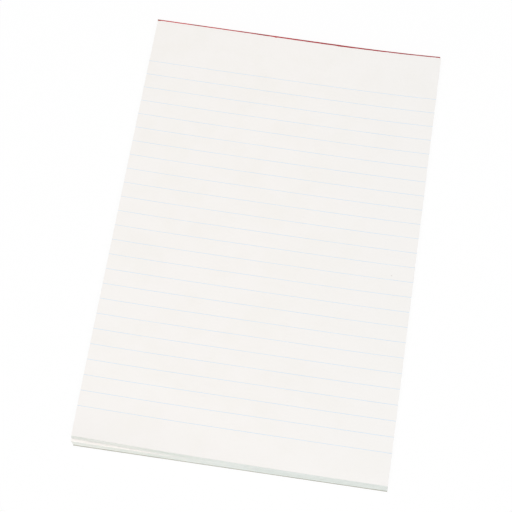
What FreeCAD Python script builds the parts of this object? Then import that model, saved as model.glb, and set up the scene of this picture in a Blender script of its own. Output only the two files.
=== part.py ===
import FreeCAD, Part
import math
import os

import Sketcher
from FreeCAD import Placement, Rotation, Vector

# Ruled writing pad, gummed along its head, with the loose top leaves rolled up at one corner.
# Millimetres, Z up, head towards +Y, a reader's left towards -X. The origin is on the surface
# that the pad lies on, under the middle of the whole pad.

PAD_SIZES = [
    ("padWidth", 127.0, "leaf and board, across"),
    ("padLength", 203.2, "leaf and board, from head to foot"),
    ("boardThick", 0.7, "chipboard backing"),
    ("settledLeaves", 2.8, "stack of leaves that lie flat on the board"),
    ("looseLeaves", 2.6, "stack of leaves above them that roll up at the corner"),
    ("leafThick", 0.1, "one leaf, and so the gap at which two leaves part"),
    ("leanAcross", 0.5, "how far left the settled leaves lean by their top"),
    ("leanToHead", 0.2, "how far to the head they lean by their top"),
    ("bendAcross", 110.0, "from the left side to where the bend line meets the foot"),
    ("bendAlong", 35.0, "from the foot to where the bend line meets the left side"),
    ("cornerLift", 3.3, "rise of the loose leaves at the corner"),
    ("gumThick", 0.5, "padding gum on the head edge"),
    ("gumRound", 0.15, "rounded rim of the gum"),
    ("headMargin", 21.9, "from the head edge to the first rule"),
    ("footMargin", 10.0, "least blank below the last rule"),
    ("rulePitch", 6.97, "from one rule to the next"),
    ("ruleWidth", 0.25, "one rule"),
    ("inkThick", 0.03, "ink of a rule, proud of the leaf"),
    ("overrun", 1.0, "how far a shape runs past what trims it"),
]

# Heights above the surface, and the middle of the board and of the top leaf. The settled leaves
# lean from the one to the other and the gum adds to the head, so the whole is centred.
SETTLED_TOP = "(sizes.boardThick + sizes.settledLeaves)"
BOARD_X = "(sizes.leanAcross / 2)"
BOARD_Y = "(-(sizes.leanToHead + sizes.gumThick) / 2)"
TOP_X = "(-sizes.leanAcross / 2)"
TOP_Y = "((sizes.leanToHead - sizes.gumThick) / 2)"
HEAD_EDGE = "sizes.padLength / 2"

# The loose leaves bend as part of a cylinder, whose level axis is above the bend line. The
# corner is its reach away from that line, and FAR_SIDE takes in the rest of the leaf.
BEND_SPAN = "hypot(sizes.bendAcross; sizes.bendAlong)"
REACH = f"(sizes.bendAcross * sizes.bendAlong / {BEND_SPAN})"
BEND_RADIUS = f"(({REACH}^2 + sizes.cornerLift^2) / (2 * sizes.cornerLift))"
NEAR_SIDE = f"({REACH} + sizes.overrun)"
FAR_SIDE = (
    "((sizes.padWidth * sizes.bendAlong + sizes.padLength * sizes.bendAcross)"
    f" / {BEND_SPAN} + sizes.overrun)"
)

# A sketch numbers a piece's points from 1 and its own axes from -1 down
START, END, CENTRE = range(1, 4)
LEVEL_AXIS, UPRIGHT_AXIS = range(-1, -3, -1)
ORIGIN = (LEVEL_AXIS, START)

doc = FreeCAD.newDocument("ruled_pad")
sheet = doc.addObject("Spreadsheet::Sheet", "sizes")
for row, (alias, value, meaning) in enumerate(PAD_SIZES, start=1):
    sheet.set(f"A{row}", alias)
    sheet.set(f"B{row}", str(value))
    sheet.setAlias(f"B{row}", alias)
    sheet.set(f"C{row}", meaning)
doc.recompute()


def bind(obj, formulas):
    for path, formula in formulas.items():
        obj.setExpression(path, formula)


def constrain(sketch, *facts):
    for fact in facts:
        sketch.addConstraint(Sketcher.Constraint(*fact))


def number(formula):
    found = sheet.evalExpression(formula)
    return getattr(found, "Value", found)


def size(sketch, name, formula, *fact):
    # Constraint that a formula drives, started at the value that the formula has now
    index = sketch.addConstraint(Sketcher.Constraint(*fact, number(formula)))
    sketch.renameConstraint(index, name)
    sketch.setExpression(f"Constraints.{name}", formula)


def line(sketch, start, end):
    return sketch.addGeometry(Part.LineSegment(Vector(*start, 0), Vector(*end, 0)))


def bend_arc(sketch, radius, lowest, start_x, end_x):
    # Foot of a circle whose centre is on the upright axis, radius above the lowest point
    circle = Part.Circle(Vector(0, lowest + radius, 0), Vector(0, 0, 1), radius)
    angles = [math.asin(x / radius) - math.pi / 2 for x in (start_x, end_x)]
    return sketch.addGeometry(Part.ArcOfCircle(circle, *angles))


def close(sketch, loop, backwards=()):
    # Joins the pieces of an outline end to end, round to the first
    for piece, following in zip(loop, loop[1:] + loop[:1]):
        leaves_by = START if piece in backwards else END
        enters_by = END if following in backwards else START
        constrain(sketch, ("Coincident", piece, leaves_by, following, enters_by))


def rectangle(sketch, across, along):
    # Rectangle about the sketch's origin
    x, y = number(across) / 2, number(along) / 2
    corners = [(-x, -y), (x, -y), (x, y), (-x, y)]
    sides = [line(sketch, a, b) for a, b in zip(corners, corners[1:] + corners[:1])]
    close(sketch, sides)
    for side in sides:
        constrain(sketch, ("Vertical" if side % 2 else "Horizontal", side))
    constrain(sketch, ("Symmetric", 0, START, 1, END, *ORIGIN))
    size(sketch, "across", across, "DistanceX", 0, START, 0, END)
    size(sketch, "along", along, "DistanceY", 1, START, 1, END)


def column(name, across, along, place, height, lean=("0", "0")):
    # Straight or leaning column on a level rectangle
    outline = doc.addObject("Sketcher::SketchObject", f"{name}_outline")
    rectangle(outline, across, along)
    bind(outline, dict(zip(("Placement.Base.x", "Placement.Base.y", "Placement.Base.z"), place)))
    solid = doc.addObject("Part::Extrusion", name)
    solid.Base = outline
    solid.DirMode = "Custom"
    solid.Solid = True
    bind(solid, dict(zip(("Dir.x", "Dir.y", "Dir.z"), (*lean, height))))
    return solid


def bent_slab(name, profile):
    # The profile runs square to the bend line, its x towards the corner and its y up from the
    # board. The slab reaches past the leaves both ways along the line.
    profile.Placement = Placement(Vector(), Rotation(Vector(1, 0, 0), 90))
    slab = doc.addObject("Part::Extrusion", name)
    slab.Base = profile
    slab.DirMode = "Custom"
    slab.Dir = Vector(0, 1, 0)
    slab.Solid = True
    slab.Symmetric = True
    slab.Placement = Placement(Vector(), Rotation(Vector(0, 0, 1), 180))
    bind(slab, {
        "LengthFwd": "2 * (sizes.padWidth + sizes.padLength)",
        "Placement.Base.x": f"{TOP_X} - sizes.padWidth / 2 + sizes.bendAcross",
        "Placement.Base.y": f"{TOP_Y} - sizes.padLength / 2",
        "Placement.Base.z": "sizes.boardThick",
        "Placement.Rotation.Angle": "180 deg + atan(sizes.bendAcross / sizes.bendAlong)",
    })
    return slab


def body(name):
    # Body with one sketch on the level plane of its own origin
    made = doc.addObject("PartDesign::Body", name)
    made.Label = name
    sketch = made.newObject("Sketcher::SketchObject", f"{name}_sketch")
    support = next(f for f in made.Origin.OriginFeatures if f.Role == "XY_Plane")
    sketch.AttachmentSupport = [(support, "")]
    sketch.MapMode = "FlatFace"
    return made, sketch


# Backing board: chipboard as large as a leaf
board, board_sketch = body("backing_board")
rectangle(board_sketch, "sizes.padWidth", "sizes.padLength")
bind(board_sketch, {"AttachmentOffset.Base.x": BOARD_X, "AttachmentOffset.Base.y": BOARD_Y})
board_pad = board.newObject("PartDesign::Pad", "board_pad")
board_pad.Profile = board_sketch
bind(board_pad, {"Length": "sizes.boardThick"})

# Leaves: two columns, the settled leaves leaning on the board and the loose ones square on them,
# with room above for the corner
LEAF = ("sizes.padWidth", "sizes.padLength")
LEAN = ("-sizes.leanAcross", "sizes.leanToHead")
leaf_columns = doc.addObject("Part::MultiFuse", "leaf_columns")
leaf_columns.Shapes = [
    column(
        "settled_column", *LEAF, (BOARD_X, BOARD_Y, "sizes.boardThick"),
        "sizes.settledLeaves", LEAN,
    ),
    column(
        "loose_column", *LEAF, (TOP_X, TOP_Y, SETTLED_TOP),
        "sizes.looseLeaves + sizes.cornerLift + sizes.overrun",
    ),
]

# Both are cut to one profile, which holds the bend and the gap under it. The gap starts blunt,
# where the leaves are one leaf's thickness apart. The profile is drawn where its sizes put it.
far, near, radius = number(FAR_SIDE), number(NEAR_SIDE), number(BEND_RADIUS)
parted, stack = sheet.settledLeaves, sheet.settledLeaves + sheet.looseLeaves
gap_top = parted + sheet.leafThick
gap_x = math.sqrt(radius**2 - (radius - sheet.leafThick) ** 2)
rise = radius - math.sqrt(radius**2 - near**2)

leaf_profile = doc.addObject("Sketcher::SketchObject", "leaf_profile")
underside = line(leaf_profile, (-far, 0), (near, 0))
low_end = line(leaf_profile, (near, 0), (near, parted))
parting = line(leaf_profile, (near, parted), (gap_x, parted))
gap_start = line(leaf_profile, (gap_x, parted), (gap_x, gap_top))
under = bend_arc(leaf_profile, radius, parted, gap_x, near)
high_end = line(leaf_profile, (near, parted + rise), (near, stack + rise))
over = bend_arc(leaf_profile, radius - sheet.looseLeaves, stack, 0, near)
flat_top = line(leaf_profile, (0, stack), (-far, stack))
far_end = line(leaf_profile, (-far, stack), (-far, 0))
close(
    leaf_profile,
    [underside, low_end, parting, gap_start, under, high_end, over, flat_top, far_end],
    backwards=(over,),
)
constrain(
    leaf_profile,
    ("Horizontal", parting),
    ("Horizontal", flat_top),
    ("Vertical", low_end),
    ("Vertical", gap_start),
    ("Vertical", high_end),
    ("Vertical", far_end),
    ("Vertical", low_end, END, high_end, START),
    ("PointOnObject", underside, START, LEVEL_AXIS),
    ("PointOnObject", underside, END, LEVEL_AXIS),
    ("PointOnObject", over, START, UPRIGHT_AXIS),
    ("PointOnObject", over, CENTRE, UPRIGHT_AXIS),
    ("Coincident", under, CENTRE, over, CENTRE),
)
for name, formula, fact in (
    ("farSide", FAR_SIDE, ("DistanceX", underside, START, *ORIGIN)),
    ("nearSide", NEAR_SIDE, ("DistanceX", *ORIGIN, underside, END)),
    ("parted", "sizes.settledLeaves", ("DistanceY", low_end, START, low_end, END)),
    ("gap", "sizes.leafThick", ("DistanceY", gap_start, START, gap_start, END)),
    ("bend", BEND_RADIUS, ("Radius", under)),
    ("axis", f"sizes.settledLeaves + {BEND_RADIUS}", ("DistanceY", *ORIGIN, under, CENTRE)),
    ("stack", "sizes.settledLeaves + sizes.looseLeaves", ("DistanceY", *ORIGIN, flat_top, START)),
):
    size(leaf_profile, name, formula, *fact)

leaves = doc.addObject("Part::Common", "paper_block")
leaves.Base = leaf_columns
leaves.Tool = bent_slab("leaf_slab", leaf_profile)

# Padding gum: a film over the head edges of the board and the leaves, so it leans as they do,
# with a rounded rim at the top and at the bottom
gum_columns = doc.addObject("Part::MultiFuse", "gum_columns")
gum_columns.Refine = True
gum_columns.Shapes = [
    column(
        f"{layer}_gum", "sizes.padWidth", "sizes.gumThick",
        (x, f"{y} + {HEAD_EDGE} + sizes.gumThick / 2", z), height, lean,
    )
    for layer, (x, y, z), height, lean in (
        ("board", (BOARD_X, BOARD_Y, "0"), "sizes.boardThick", ("0", "0")),
        ("settled", (BOARD_X, BOARD_Y, "sizes.boardThick"), "sizes.settledLeaves", LEAN),
        ("loose", (TOP_X, TOP_Y, SETTLED_TOP), "sizes.looseLeaves", ("0", "0")),
    )
]
doc.recompute()


def outer_rims(shape):
    # The edges of the film's top and bottom that lie furthest from the leaves
    by_height = sorted(shape.Faces, key=lambda face: face.CenterOfMass.z)
    rims = [
        max(face.Edges, key=lambda edge: edge.CenterOfMass.y)
        for face in (by_height[0], by_height[-1])
    ]
    return [i for i, edge in enumerate(shape.Edges, start=1) if any(map(edge.isSame, rims))]


gum = doc.addObject("Part::Fillet", "padding_glue")
gum.Base = gum_columns
gum.Edges = [(i, sheet.gumRound, sheet.gumRound) for i in outer_rims(gum_columns.Shape)]

# Rules: bars across the leaf, one for each line, cut to a layer of ink that follows the bend
ink_height = stack + sheet.inkThick
ink_radius = radius - sheet.looseLeaves - sheet.inkThick

ink_profile = doc.addObject("Sketcher::SketchObject", "ink_profile")
ink_flat = line(ink_profile, (-far, stack), (0, stack))
ink_under = bend_arc(ink_profile, radius - sheet.looseLeaves, stack, 0, near)
ink_end = line(ink_profile, (near, stack + rise), (near, ink_height + rise))
ink_over = bend_arc(ink_profile, ink_radius, ink_height, 0, near)
ink_top = line(ink_profile, (0, ink_height), (-far, ink_height))
ink_far = line(ink_profile, (-far, ink_height), (-far, stack))
close(
    ink_profile,
    [ink_flat, ink_under, ink_end, ink_over, ink_top, ink_far],
    backwards=(ink_over,),
)
constrain(
    ink_profile,
    ("Horizontal", ink_flat),
    ("Horizontal", ink_top),
    ("Vertical", ink_end),
    ("Vertical", ink_far),
    ("PointOnObject", ink_flat, END, UPRIGHT_AXIS),
    ("PointOnObject", ink_top, START, UPRIGHT_AXIS),
    ("PointOnObject", ink_over, CENTRE, UPRIGHT_AXIS),
    ("Coincident", ink_under, CENTRE, ink_over, CENTRE),
)
for name, formula, fact in (
    ("farSide", "leaf_profile.Constraints.farSide", ("DistanceX", ink_flat, START, *ORIGIN)),
    ("nearSide", "leaf_profile.Constraints.nearSide", ("DistanceX", *ORIGIN, ink_end, START)),
    ("stack", "leaf_profile.Constraints.stack", ("DistanceY", *ORIGIN, ink_flat, END)),
    ("axis", "leaf_profile.Constraints.axis", ("DistanceY", *ORIGIN, ink_under, CENTRE)),
    ("ink", "sizes.inkThick", ("DistanceY", ink_far, END, ink_far, START)),
):
    size(ink_profile, name, formula, *fact)

rule_bars, bar_sketch = body("rule_bars")
rectangle(bar_sketch, "sizes.padWidth", "sizes.ruleWidth")
bind(bar_sketch, {
    "AttachmentOffset.Base.x": TOP_X,
    "AttachmentOffset.Base.y": f"{TOP_Y} + {HEAD_EDGE} - sizes.headMargin",
    "AttachmentOffset.Base.z": SETTLED_TOP,
})
bar = rule_bars.newObject("PartDesign::Pad", "rule_bar")
bar.Profile = bar_sketch
bind(bar, {"Length": "sizes.looseLeaves + sizes.cornerLift + sizes.overrun"})
ruling = rule_bars.newObject("PartDesign::LinearPattern", "ruling")
ruling.Originals = [bar]
ruling.Direction = (bar_sketch, ["V_Axis"])
ruling.Reversed = True
ruling.Mode = "Spacing"
bind(ruling, {
    "Offset": "sizes.rulePitch",
    "Occurrences": "floor((sizes.padLength - sizes.headMargin - sizes.footMargin)"
    " / sizes.rulePitch) + 1",
})
rule_bars.Tip = ruling

rules = doc.addObject("Part::Common", "ruled_lines")
rules.Base = bent_slab("ink_slab", ink_profile)
rules.Tool = rule_bars

doc.recompute()

failed = [o.Name for o in doc.Objects if {"Invalid", "Error"} & set(o.State)]
if failed:
    raise RuntimeError(f"failed features: {failed}")
loose_sketches = [
    o.Name for o in doc.Objects if o.TypeId == "Sketcher::SketchObject" and not o.FullyConstrained
]
if loose_sketches:
    raise RuntimeError(f"sketches with a size left free: {loose_sketches}")

PIECES = {"paper_block": leaves, "backing_board": board, "padding_glue": gum, "ruled_lines": rules}
for node, piece in PIECES.items():
    piece.Label = node
    if piece.Shape.isNull() or not piece.Shape.isValid() or not piece.Shape.Solids:
        raise RuntimeError(f"{node} has no valid solid")

os.makedirs("parts", exist_ok=True)
for node, piece in PIECES.items():
    piece.Shape.exportStep(f"parts/{node}.step")
    print(f"{node}: {len(piece.Shape.Solids)} solids, {piece.Shape.Volume / 1000:.3f} cm3")
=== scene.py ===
import math
import random

import bmesh
import bpy
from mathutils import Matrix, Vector, noise


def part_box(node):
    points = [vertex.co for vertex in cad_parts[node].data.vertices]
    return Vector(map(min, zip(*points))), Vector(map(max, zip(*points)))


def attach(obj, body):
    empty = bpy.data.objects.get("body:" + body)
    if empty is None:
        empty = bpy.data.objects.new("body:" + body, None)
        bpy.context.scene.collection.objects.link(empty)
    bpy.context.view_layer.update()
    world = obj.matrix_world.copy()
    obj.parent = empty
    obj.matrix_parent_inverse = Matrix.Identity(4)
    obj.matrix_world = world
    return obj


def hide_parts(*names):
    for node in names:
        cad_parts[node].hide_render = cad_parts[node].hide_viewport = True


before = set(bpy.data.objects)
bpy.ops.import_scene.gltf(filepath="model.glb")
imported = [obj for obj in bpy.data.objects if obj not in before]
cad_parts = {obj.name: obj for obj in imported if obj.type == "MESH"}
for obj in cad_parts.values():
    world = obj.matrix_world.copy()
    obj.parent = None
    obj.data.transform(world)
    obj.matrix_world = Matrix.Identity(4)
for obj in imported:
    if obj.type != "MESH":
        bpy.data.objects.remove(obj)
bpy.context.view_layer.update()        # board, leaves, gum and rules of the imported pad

# Metres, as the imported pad: head towards +Y, a reader's left towards -X, lying on z = 0.
mm = 0.001
seed = 11

boardLow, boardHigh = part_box("backing_board")
_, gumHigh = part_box("padding_glue")
_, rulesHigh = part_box("ruled_lines")


# helpers for values, colours and nodes

def clamp(value):
    return min(1.0, max(0.0, value))


def smooth(value):
    value = clamp(value)
    return value * value * (3 - 2 * value)


def blend(start, end, share):
    return start + (end - start) * share


def nearEnd(place):     # on a way from -0.5 to 0.5: rises from 0 to 1 over its last 3 hundredths
    return smooth((place - 0.47) / 0.03)


def paint(red, green, blue):     # a colour as a paint chart gives it, 0 to 255
    def linear(level):
        level /= 255
        return level / 12.92 if level <= 0.04045 else ((level + 0.055) / 1.055) ** 2.4
    return (linear(red), linear(green), linear(blue), 1.0)


class Wire:     # an output socket that can stand in a sum
    def __init__(self, finish, socket):
        self.finish, self.socket = finish, socket

    def maths(self, operation, first, second):
        return self.finish.node("Math", {"operation": operation}, {0: first, 1: second})

    def __add__(self, other):
        return self.maths("ADD", self, other)

    def __sub__(self, other):
        return self.maths("SUBTRACT", self, other)

    def __rsub__(self, other):
        return self.maths("SUBTRACT", other, self)

    def __mul__(self, other):
        return self.maths("MULTIPLY", self, other)

    def __truediv__(self, other):
        return self.maths("DIVIDE", self, other)

    __radd__, __rmul__ = __add__, __mul__


class Finish:     # one material and its nodes
    def __init__(self, name, **constants):
        self.material = bpy.data.materials.new(name)
        self.material.use_nodes = True
        self.tree = self.material.node_tree
        self.shader = self.tree.nodes["Principled BSDF"]
        for socket, value in constants.items():
            self.shader.inputs[socket.replace("_", " ")].default_value = value

    def feed(self, socket, value):
        if isinstance(value, Wire):
            self.tree.links.new(value.socket, socket)
        else:
            socket.default_value = value

    def node(self, kind, settings=None, inputs=None, output=0):
        made = self.tree.nodes.new("ShaderNode" + kind)
        for setting, value in (settings or {}).items():
            setattr(made, setting, value)
        for socket, value in (inputs or {}).items():
            self.feed(made.inputs[socket], value)
        return Wire(self, made.outputs[output])

    def mix(self, first, second, share):     # of two colours
        return self.node("Mix", {"data_type": "RGBA"}, {"Factor": share, 6: first, 7: second}, 2)

    def spread(self, value, low, high, start=0.0, end=1.0):     # a value moved to another range
        return self.node(
            "MapRange", {"interpolation_type": "SMOOTHSTEP"},
            {"Value": value, 1: low, 2: high, 3: start, 4: end})

    def grain(self, place, scale, detail=2.0, rough=0.5):
        return self.node(
            "TexNoise", None,
            {"Vector": place, "Scale": scale, "Detail": detail, "Roughness": rough})

    def stretch(self, place, across, along, up):     # a place with each axis on its own scale
        return self.node("VectorMath", {"operation": "MULTIPLY"}, {0: place, 1: (across, along, up)})

    def apart(self, place, axis):
        return self.node("SeparateXYZ", None, {"Vector": place}, axis)

    def finish(self, colour, roughness=None, height=None, depth=0.0):
        self.feed(self.shader.inputs["Base Color"], colour)
        if roughness is not None:
            self.feed(self.shader.inputs["Roughness"], roughness)
        if height is not None:
            relief = self.node("Bump", None, {"Strength": 1.0, "Distance": depth, "Height": height})
            self.feed(self.shader.inputs["Normal"], relief)
        return self.material


# how the stack lies

stack = {
    "leafThick": 0.1 * mm,
    "parting": 3.5 * mm,        # height at which the loose leaves begin
    "leanAcross": -0.5 * mm,    # how far the leaves creep between the board and the parting
    "leanToHead": 0.2 * mm,
    "tuck": 0.3 * mm,           # how far the lowest leaves and the board stand back at the sides
    "trim": 0.25 * mm,          # and how much shorter they are at the right end of the foot
    "bendAcross": 110 * mm,     # where the bend line meets the foot, from the left side
    "bendAlong": 35 * mm,       # where it meets the left side, from the foot
    "cornerLift": 3.3 * mm,
    "cornerDraw": 0.35 * mm,    # how far the curl draws the corner in from the side
    "leastShare": 0.86,         # of that lift, for the lowest loose leaf at the corner
    "closed": 0.5,              # where that leaf begins to rise, as a share of the way to the corner
    "open": 0.9,                # and where it has its full share of the lift
    "columns": 64,
    "rows": 96,
}
boardTop, padTop = boardHigh.z, gumHigh.z
leafWidth = boardHigh.x - boardLow.x
leafLength = boardHigh.y - boardLow.y
lowMiddle = Vector(((boardLow.x + boardHigh.x) / 2, (boardLow.y + boardHigh.y) / 2))
topMiddle = lowMiddle + Vector((stack["leanAcross"], stack["leanToHead"]))

bendSpan = math.hypot(stack["bendAcross"], stack["bendAlong"])
toCorner = Vector((-stack["bendAlong"], -stack["bendAcross"])) / bendSpan
bendFoot = topMiddle + Vector((stack["bendAcross"] - leafWidth / 2, -leafLength / 2))
reach = stack["bendAcross"] * stack["bendAlong"] / bendSpan
bendRadius = (reach ** 2 + stack["cornerLift"] ** 2) / (2 * stack["cornerLift"])

dish = {     # the leaves stand a little higher along their sides than in the middle
    "side": 0.9 * mm,
    "leftHead": 0.2 * mm,
    "rightHead": 1.6 * mm,
    "power": 3.3,
    "headPower": 2.6,
    "headShift": 12 * mm,       # the lowest place at the head is right of the middle
}


def climbAt(height):     # from the board to the parting
    return clamp((height - boardTop) / (stack["parting"] - boardTop))


def widthAt(height):
    return leafWidth - 2 * stack["tuck"] * (1 - climbAt(height))


def trimAt(x, height):
    return stack["trim"] * (x / leafWidth + 0.5) ** 2 * (1 - climbAt(height))


def pastBend(x, y):
    return (Vector((x, y)) - bendFoot).dot(toCorner)


def openAt(lifted):     # how far the leaves have parted, on the way from the bend to the corner
    return smooth((lifted - stack["closed"]) / (stack["open"] - stack["closed"]))


def shareAt(fan, lifted):     # of the lift: fan is 0 for the lowest loose leaf, 1 for the top one
    return blend(stack["leastShare"] * openAt(lifted), 1.0, fan)


def dishHeight(x, y):
    along = (y - topMiddle.y) / (leafLength / 2)
    towardsHead = smooth((along - 0.3) / 0.7)
    middle = topMiddle.x + dish["headShift"] * towardsHead
    power = blend(dish["power"], dish["headPower"], towardsHead)
    if x < middle:
        side = (middle - x) / (leafWidth / 2 + middle - topMiddle.x)
        height = blend(dish["side"], dish["leftHead"], towardsHead)
        height *= 1 - smooth(pastBend(x, y) / reach)
    else:
        side = (x - middle) / (leafWidth / 2 - middle + topMiddle.x)
        height = blend(dish["side"] * smooth((along + 1) / 0.7), dish["rightHead"], towardsHead)
    return height * min(side, 1.0) ** power


def restAt(flat, liftShare=0.0):
    # Where a point of the squared-up stack lies: x and y from the middle of its leaf, z its height
    x, y = Vector(flat[:2]) + lowMiddle.lerp(topMiddle, climbAt(flat.z))
    z = flat.z + dishHeight(x, y) * clamp((flat.z - boardTop) / (padTop - boardTop))
    past = pastBend(x, y)
    if liftShare and past > 0:
        radius = bendRadius - (flat.z - stack["parting"])
        angle = past / radius
        x, y = Vector((x, y)) - toCorner * (past - radius * math.sin(angle))
        x += stack["cornerDraw"] * (past / reach) ** 2
        z += radius * (1 - math.cos(angle)) * liftShare
    return Vector((x, y, z))


def newPiece(name, bm, materials, node, sharpAngle=25):
    mesh = bpy.data.meshes.new(name)
    bm.to_mesh(mesh)
    bm.free()
    for material in materials:
        mesh.materials.append(material)
    mesh.shade_smooth()
    mesh.set_sharp_from_angle(angle=math.radians(sharpAngle))
    piece = bpy.data.objects.new(name, mesh)
    bpy.context.scene.collection.objects.link(piece)
    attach(piece, "root")
    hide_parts(node)
    return piece


# paper

paper = {
    "page": paint(247, 244, 241),
    "shade": paint(244, 241, 236),      # the cloudier patches of the sheet
    "lit": paint(252, 249, 246),        # the curled corner, which catches a little more light
    "rightShade": paint(243, 242, 240),       # painted shade: the sheet is a little darker and cooler towards its right side
    # the cut edges' colour; its green cast is painted shade
    "edge": paint(230, 234, 231),
    # darker edge colour, for the leaves' own random tone and for painted shade in the creases between
    # leaves
    "edgeToneAndShade": paint(212, 219, 211),
    "edgeWarmLight": paint(242, 241, 235),   # painted light: the edge is lighter and less green towards the left, near the curled corner
    "speck": paint(120, 104, 90),
    "speckAt": (54.2 * mm, -8.9 * mm),
    "speckSize": 0.3 * mm,
}


def pageFinish():
    page = Finish("writingPaper", Roughness=0.8, Specular_IOR_Level=0.25)
    place = page.node("Attribute", {"attribute_name": "flat"}, None, "Vector")
    cloud = page.grain(place, 90, 3.0)
    fibre = page.grain(page.stretch(place, 1, 0.6, 1), 2600, 3.0, 0.65)
    colour = page.mix(paper["page"], paper["shade"], page.spread(cloud, 0.35, 0.75, 0.0, 0.6))
    colour = page.mix(colour, paper["shade"], page.spread(fibre, 0.5, 0.8, 0.0, 0.5))
    # painted shade: darker and cooler towards the right side
    rightwards = page.spread(page.apart(place, "X"), -0.1 * leafWidth, 0.5 * leafWidth, 0.0, 0.4)
    colour = page.mix(colour, paper["rightShade"], rightwards)
    towards = page.node("VectorMath", {"operation": "DOT_PRODUCT"}, {0: place, 1: (*toCorner, 0)}, "Value")
    past = towards - (bendFoot - topMiddle).dot(toCorner)
    colour = page.mix(colour, paper["lit"], page.spread(past, -0.5 * reach, 0.8 * reach, 0.0, 0.3))
    speckAt = Vector((*paper["speckAt"], padTop))
    away = page.node("VectorMath", {"operation": "DISTANCE"}, {0: place, 1: speckAt}, "Value")
    away = away + (fibre - 0.5) * (0.12 * mm)
    speck = page.spread(away, 0.3 * paper["speckSize"], 1.6 * paper["speckSize"], 0.2, 0.0)
    colour = page.mix(colour, paper["speck"], speck)
    roughness = page.spread(fibre, 0.2, 0.8, 0.74, 0.9)
    return page.finish(colour, roughness, fibre + cloud * 0.5, 0.012 * mm)


def edgeFinish():
    edge = Finish("cutLeafEdges", Roughness=0.85, Specular_IOR_Level=0.2)
    place = edge.node("Attribute", {"attribute_name": "flat"}, None, "Vector")
    leaf = edge.apart(place, "Z") / stack["leafThick"]
    number = edge.node("Math", {"operation": "FLOOR"}, {0: leaf + 0.02})
    tone = edge.node("TexWhiteNoise", {"noise_dimensions": "1D"}, {"W": number}, "Value")
    within = leaf - number
    # crease: near the top and bottom of each leaf; below, it darkens the colour as painted shade between
    # the leaves
    crease = edge.spread(within, 0.0, 0.16, 1.0, 0.0) + edge.spread(within, 0.86, 1.0)
    burr = edge.grain(edge.stretch(place, 1, 1, 12), 700, 2.0)
    drift = edge.grain(edge.stretch(place, 1, 1, 40), 45, 1.0)
    # painted light: a lighter, warmer edge towards the left
    warmLight = edge.spread(edge.apart(place, "X"), -0.4 * leafWidth, 0.15 * leafWidth, 0.85, 0.0)
    colour = edge.mix(paper["edge"], paper["edgeWarmLight"], warmLight)
    deep = tone * 0.22 + edge.spread(burr, 0.45, 0.8, 0.0, 0.25) + edge.spread(drift, 0.4, 0.7, 0.0, 0.35)
    # painted shade in the creases between leaves, on top of the leaves' random tone
    colour = edge.mix(colour, paper["edgeToneAndShade"], edge.node("Clamp", None, {"Value": deep + crease * 0.3}))
    return edge.finish(colour, None, burr * 0.4 - crease, 0.01 * mm)


pageMaterial, edgeMaterial = pageFinish(), edgeFinish()

leaves = {
    "creep": 0.03 * mm,         # how far one leaf stands back from the next
    "drift": 0.05 * mm,         # how far a bundle of leaves does
    "wander": 0.03 * mm,        # and how far that changes along the edge
    "crease": 0.012 * mm,       # rounding of a leaf's cut edge
    "partsAfter": (7, 14, 20),  # loose leaves below a parting at the curled corner
    "partDepth": 3.0 * mm,
    "bundle": 7,                # leaves that drift together
}
chance = random.Random(seed)


def leafLevels(low, count, loose):
    # The outline's rings from the lowest leaf up: height, how far it stands back, place in the
    # fan of loose leaves, and how deep it goes between two bundles of leaves
    levels, drift = [], 0.0
    top = low + count * stack["leafThick"]
    bundle = 0

    def fanAt(leaf):
        return ((leaf + 1) / count + 2 * bundle / len(leaves["partsAfter"])) / 3

    for leaf in range(count):
        if leaf % leaves["bundle"] == 0:
            drift = chance.uniform(0, leaves["drift"])
        back = drift + chance.uniform(0, leaves["creep"])
        fan = fanAt(leaf)
        under = low + leaf * stack["leafThick"] + (leaves["crease"] if leaf else 0)
        over = low + (leaf + 1) * stack["leafThick"] - (leaves["crease"] if leaf < count - 1 else 0)
        levels += [(under, back, fan, 0.0), (over, back, fan, 0.0)]
        if loose and leaf + 1 in leaves["partsAfter"]:
            bundle += 1
            levels.append((over + leaves["crease"], back, (fan + fanAt(leaf + 1)) / 2, leaves["partDepth"]))
    return levels


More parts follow.
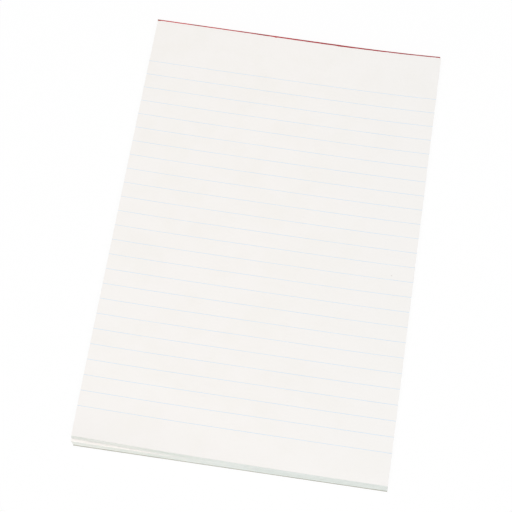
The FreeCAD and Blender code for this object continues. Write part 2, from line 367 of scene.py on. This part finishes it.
def leafStack(name, low, count, loose):
    levels = leafLevels(low, count, loose)
    bm = bmesh.new()
    bmesh.ops.create_grid(bm, x_segments=stack["columns"], y_segments=stack["rows"], size=0.5)
    risen = bmesh.ops.extrude_face_region(bm, geom=bm.faces[:], use_keep_orig=True)["geom"]
    bmesh.ops.translate(
        bm, vec=(0, 0, 1), verts=[part for part in risen if isinstance(part, bmesh.types.BMVert)])
    uprights = [edge for edge in bm.edges if abs(edge.verts[0].co.z - edge.verts[1].co.z) > 0.5]
    bmesh.ops.subdivide_edges(bm, edges=uprights, cuts=len(levels) - 2, use_grid_fill=True)
    bmesh.ops.recalc_face_normals(bm, faces=bm.faces)

    last = len(levels) - 1
    for face in bm.faces:
        rings = {round(vert.co.z * last) for vert in face.verts}
        face.material_index = 0 if len(rings) == 1 else 1
    flatAt = bm.verts.layers.float_vector.new("flat")
    for vert in bm.verts:
        height, back, fan, depth = levels[round(vert.co.z * last)]
        onSide, onFoot = abs(abs(vert.co.x) - 0.5) < 1e-4, abs(vert.co.y + 0.5) < 1e-4
        flat = Vector((vert.co.x * widthAt(height), vert.co.y * leafLength, height))
        lifted = clamp(pastBend(flat.x + topMiddle.x, flat.y + topMiddle.y) / reach)
        if onSide or onFoot:
            wave = noise.noise(Vector((flat.x * 60, flat.y * 60, height * 9000 + seed)))
            inset = back + leaves["wander"] * (1 + wave) / 2
            inset += depth * openAt(lifted) + (leaves["drift"] if depth else 0)
            if onSide:
                flat.x -= math.copysign(inset * (1 - nearEnd(vert.co.y)), flat.x)
            if onFoot:
                flat.y += inset + trimAt(flat.x, height)
        vert[flatAt] = flat
        vert.co = restAt(flat, shareAt(fan, lifted) if loose else 0.0)
    return newPiece(name, bm, (pageMaterial, edgeMaterial), "paper_block")


settledCount = round((stack["parting"] - boardTop) / stack["leafThick"])
looseCount = round((padTop - stack["parting"]) / stack["leafThick"])
settledLeaves = leafStack("settledLeaves", boardTop, settledCount, False)
looseLeaves = leafStack("looseLeaves", stack["parting"], looseCount, True)
print("leaves:", settledCount, "settled and", looseCount, "loose")


# rules

rule = {
    "width": 0.25 * mm,
    "pitch": 6.97 * mm,
    "count": 25,
    "sink": 0.01 * mm,      # the ink's underside, in the paper
    "proud": 0.015 * mm,
    "ink": paint(215, 230, 243),
    # lighter ink, for the ink's own unevenness and for painted light towards the left
    "faintAndLit": paint(229, 237, 243),
}


def inkFinish():
    ink = Finish("ruleInk", Roughness=0.7, Specular_IOR_Level=0.25)
    place = ink.node("Attribute", {"attribute_name": "flat"}, None, "Vector")
    dots = ink.grain(place, 1800, 2.0)
    run = ink.grain(place, 60, 1.0)
    share = ink.spread(dots, 0.4, 0.75, 0.0, 0.45) + ink.spread(run, 0.4, 0.7, 0.0, 0.35)
    # painted light: the rules fade towards the left, where the sheet is more brightly lit
    share = share + ink.spread(ink.apart(place, "X"), -0.5 * leafWidth, 0.5 * leafWidth, 0.2, 0.0)
    return ink.finish(ink.mix(rule["ink"], rule["faintAndLit"], share), None, dots, 0.004 * mm)


def makeRules():
    bm = bmesh.new()
    firstRule = rulesHigh.y - rule["width"] / 2 - topMiddle.y
    for number in range(rule["count"]):
        strip = bmesh.ops.create_grid(bm, x_segments=stack["columns"] * 2, y_segments=1, size=0.5)["verts"]
        bmesh.ops.scale(bm, vec=(leafWidth - 0.1 * mm, rule["width"], 1), verts=strip)
        bmesh.ops.translate(bm, vec=(0, firstRule - number * rule["pitch"], -rule["sink"]), verts=strip)
    risen = bmesh.ops.extrude_face_region(bm, geom=bm.faces[:], use_keep_orig=True)["geom"]
    bmesh.ops.translate(
        bm, vec=(0, 0, rule["sink"] + rule["proud"]),
        verts=[part for part in risen if isinstance(part, bmesh.types.BMVert)])
    bmesh.ops.recalc_face_normals(bm, faces=bm.faces)
    flatAt = bm.verts.layers.float_vector.new("flat")
    for vert in bm.verts:
        flat = vert.co + Vector((0, 0, padTop))
        vert[flatAt] = flat
        vert.co = restAt(flat, 1.0)
        if flat.z > padTop:
            vert.co.z += rule["proud"]
    return newPiece("ruledLines", bm, (inkFinish(),), "ruled_lines")


ruledLines = makeRules()
print("rules:", rule["count"])


# gum

gum = {
    "bright": paint(206, 60, 66),       # lighter red, towards the left
    "red": paint(170, 44, 52),
    "deep": paint(142, 33, 42),
    "brown": paint(150, 84, 70),
    "thin": 0.4 * mm,
    "thick": 0.49 * mm,
    "lapMiddle": 0.34 * mm,     # over the top leaf, where there is most
    "lapEnds": 0.1 * mm,
    "lapCentre": 12 * mm,
    "lapHalf": 52 * mm,
    "short": 0.5 * mm,          # of the right corner
    "round": 0.12 * mm,
    "columns": 254,
    "rows": 16,
    "blobs": (                  # place across, half width, and extra lap
        (-63.2 * mm, 1.1 * mm, 0.32 * mm),
        (-10.5 * mm, 0.9 * mm, 0.25 * mm),
        (18.0 * mm, 2.5 * mm, 0.1 * mm),
    ),
}


def gumFinish():
    red = Finish("paddingGum", Specular_IOR_Level=0.3)
    place = red.node("TexCoord", None, None, "Object")
    streak = red.grain(red.stretch(place, 0.12, 1, 1), 2500, 2.0)
    pool = red.grain(place, 140, 2.0)
    across = red.apart(place, "X")
    colour = red.mix(gum["red"], gum["bright"], red.spread(across, -50 * mm, 20 * mm, 0.9, 0.0))
    colour = red.mix(colour, gum["deep"], red.spread(pool, 0.4, 0.7, 0.0, 0.6))
    colour = red.mix(colour, gum["deep"], red.spread(streak, 0.5, 0.8, 0.0, 0.4))
    leftEnd = red.spread(across, -63.4 * mm, -61.6 * mm, 0.8, 0.0)
    colour = red.mix(colour, gum["brown"], leftEnd)
    roughness = red.spread(pool, 0.3, 0.7, 0.34, 0.55)
    return red.finish(colour, roughness, streak + pool * 2, 0.03 * mm)


def makeGum():
    bm = bmesh.new()
    bmesh.ops.create_grid(bm, x_segments=gum["columns"], y_segments=gum["rows"], size=0.5)
    risen = bmesh.ops.extrude_face_region(bm, geom=bm.faces[:], use_keep_orig=True)["geom"]
    bmesh.ops.translate(
        bm, vec=(0, 0, 1), verts=[part for part in risen if isinstance(part, bmesh.types.BMVert)])
    for vert in bm.verts:
        across, up, outer = vert.co.x, vert.co.y + 0.5, vert.co.z
        height = up * padTop
        place = restAt(Vector((across * widthAt(height), leafLength / 2, height)))
        place.x -= gum["short"] * nearEnd(across)
        if outer > 0.5:
            brushed = noise.noise(Vector((place.x * 90, height * 260, seed)))
            brushed += 0.4 * noise.noise(Vector((place.x * 400, height * 900, seed)))
            place.y += blend(gum["thin"], gum["thick"], clamp(0.5 + 0.5 * brushed))
        if up > 0.999:
            uneven = noise.noise(Vector((place.x * 160, seed, 0))) * 0.4
            ends = smooth(abs(place.x - gum["lapCentre"]) / gum["lapHalf"])
            lap = blend(gum["lapMiddle"], gum["lapEnds"], ends) * (1 + uneven)
            for middle, half, extra in gum["blobs"]:
                lap += extra * (1 - smooth(abs(place.x - middle) / half))
            place.z += 0.04 * mm
            if outer < 0.5:
                place.y -= lap
        vert.co = place
    bmesh.ops.recalc_face_normals(bm, faces=bm.faces)
    rims = [edge for edge in bm.edges if edge.calc_face_angle(0) > math.radians(60)]
    outerRims = [edge for edge in rims if all(
        vert.co.y > leafLength / 2 + lowMiddle.y + gum["thin"] * 0.9 for vert in edge.verts)]
    bmesh.ops.bevel(
        bm, geom=outerRims, offset=gum["round"], affect="EDGES", segments=3, profile=0.5, material=-1)
    return newPiece("headGum", bm, (gumFinish(),), "padding_glue", 35)


headGum = makeGum()
print("gum along the head")


# board

board = {
    # chipboard grey, darkened further to stand in for the contact shadow along its foot edge: partly the
    # board's own colour, partly painted shade
    "face": paint(158, 156, 142),
    "pale": paint(180, 178, 165),
    "fleck": paint(112, 108, 95),
    "round": 0.06 * mm,
}


def boardFinish():
    chip = Finish("chipboard", Roughness=0.9, Specular_IOR_Level=0.2)
    place = chip.node("TexCoord", None, None, "Object")
    pulp = chip.grain(place, 260, 4.0, 0.6)
    layers = chip.grain(chip.stretch(place, 1, 1, 22), 320, 3.0, 0.6)
    flecks = chip.grain(chip.stretch(place, 0.5, 1.4, 3), 1500, 2.0)
    colour = chip.mix(board["face"], board["pale"], chip.spread(pulp, 0.35, 0.65))
    colour = chip.mix(colour, board["fleck"], chip.spread(flecks, 0.62, 0.78, 0.0, 0.7))
    colour = chip.mix(colour, board["fleck"], chip.spread(layers, 0.55, 0.75, 0.0, 0.35))
    return chip.finish(colour, None, flecks + pulp + layers, 0.03 * mm)


def makeBoard():
    bm = bmesh.new()
    bmesh.ops.create_cube(bm, size=1)
    bmesh.ops.scale(bm, vec=(widthAt(0), leafLength, boardTop), verts=bm.verts)
    for vert in bm.verts:
        if vert.co.y < 0:
            vert.co.y += trimAt(vert.co.x, 0)
    bmesh.ops.translate(bm, vec=(*lowMiddle, boardTop / 2), verts=bm.verts)
    bmesh.ops.bevel(
        bm, geom=bm.edges[:], offset=board["round"], affect="EDGES", segments=3, profile=0.5, material=-1)
    return newPiece("backBoard", bm, (boardFinish(),), "backing_board", 35)


backBoard = makeBoard()
print("board")


# floor, light and camera

studio = {
    "floorSize": 8.0,
    "floorDrop": 0.02 * mm,     # just under the board
    "floorTone": paint(253, 253, 253),
    "shadowKept": 0.1,          # of the floor's own shading, in what the camera sees
    "sky": 0.535,
    "key": 0.505,               # share of a level page's light
    "keyHeight": 65,
    "keySide": 8,               # degrees right of the foot
    "keyAway": 5.0,
    "keySize": 3.1,
}


def seenDirectly(tree):
    rays = tree.nodes.new("ShaderNodeLightPath")
    seen = rays.outputs["Is Camera Ray"]
    for name in ("Is Glossy Ray", "Is Transmission Ray"):
        either = tree.nodes.new("ShaderNodeMath")
        either.operation = "MAXIMUM"
        tree.links.new(seen, either.inputs[0])
        tree.links.new(rays.outputs[name], either.inputs[1])
        seen = either.outputs[0]
    return seen


def makeFloor():
    bm = bmesh.new()
    bmesh.ops.create_grid(bm, x_segments=8, y_segments=8, size=studio["floorSize"] / 2)
    mesh = bpy.data.meshes.new("floor")
    bm.to_mesh(mesh)
    bm.free()
    floor = bpy.data.objects.new("floor", mesh)
    floor.location.z = -studio["floorDrop"]
    bpy.context.scene.collection.objects.link(floor)
    finish = Finish("floorPaint", Base_Color=studio["floorTone"], Roughness=1.0, Specular_IOR_Level=0.0)
    tree = finish.tree
    scaled = tree.nodes.new("ShaderNodeMath")
    scaled.operation = "MULTIPLY"
    tree.links.new(seenDirectly(tree), scaled.inputs[0])
    scaled.inputs[1].default_value = 1 - studio["shadowKept"]
    white = tree.nodes.new("ShaderNodeEmission")
    white.inputs["Strength"].default_value = 1.0
    either = tree.nodes.new("ShaderNodeMixShader")
    tree.links.new(scaled.outputs[0], either.inputs[0])
    tree.links.new(finish.shader.outputs[0], either.inputs[1])
    tree.links.new(white.outputs[0], either.inputs[2])
    tree.links.new(either.outputs[0], tree.nodes["Material Output"].inputs["Surface"])
    mesh.materials.append(finish.material)


def makeWorld():
    world = bpy.data.worlds.new("studio")
    bpy.context.scene.world = world
    world.use_nodes = True
    tree = world.node_tree
    sky = tree.nodes["Background"]
    sky.inputs["Color"].default_value = (1, 1, 1, 1)
    sky.inputs["Strength"].default_value = studio["sky"]
    white = tree.nodes.new("ShaderNodeBackground")
    white.inputs["Color"].default_value = (1, 1, 1, 1)
    white.inputs["Strength"].default_value = 1.0
    either = tree.nodes.new("ShaderNodeMixShader")
    tree.links.new(seenDirectly(tree), either.inputs[0])
    tree.links.new(sky.outputs[0], either.inputs[1])
    tree.links.new(white.outputs[0], either.inputs[2])
    tree.links.new(either.outputs[0], tree.nodes["World Output"].inputs["Surface"])


def makeKey():
    height, side = math.radians(studio["keyHeight"]), math.radians(studio["keySide"])
    away = Vector((math.sin(side) * math.cos(height), -math.cos(side) * math.cos(height), math.sin(height)))
    lamp = bpy.data.lights.new("key", "AREA")
    lamp.shape, lamp.size = "DISK", studio["keySize"]
    lamp.energy = studio["key"] * math.pi ** 2 * studio["keyAway"] ** 2 / math.sin(height)
    key = bpy.data.objects.new("key", lamp)
    key.location = away * studio["keyAway"]
    key.rotation_euler = away.to_track_quat("Z", "Y").to_euler()
    bpy.context.scene.collection.objects.link(key)


view = {
    "place": (0.032189, -0.382053, 0.719067),
    "turn": (27.6969, -1.6088, 8.4633),
    "lens": 135.594,
    "sensor": 36,
    "clip": (0.05, 20),
}


def makeCamera():
    lens = bpy.data.cameras.new("view")
    lens.lens, lens.sensor_width = view["lens"], view["sensor"]
    lens.clip_start, lens.clip_end = view["clip"]
    camera = bpy.data.objects.new("view", lens)
    camera.location = view["place"]
    camera.rotation_euler = [math.radians(angle) for angle in view["turn"]]
    bpy.context.scene.collection.objects.link(camera)
    bpy.context.scene.camera = camera


makeFloor()
makeWorld()
makeKey()
makeCamera()
bpy.context.scene.view_settings.view_transform = "Standard"
print("floor, light and camera")
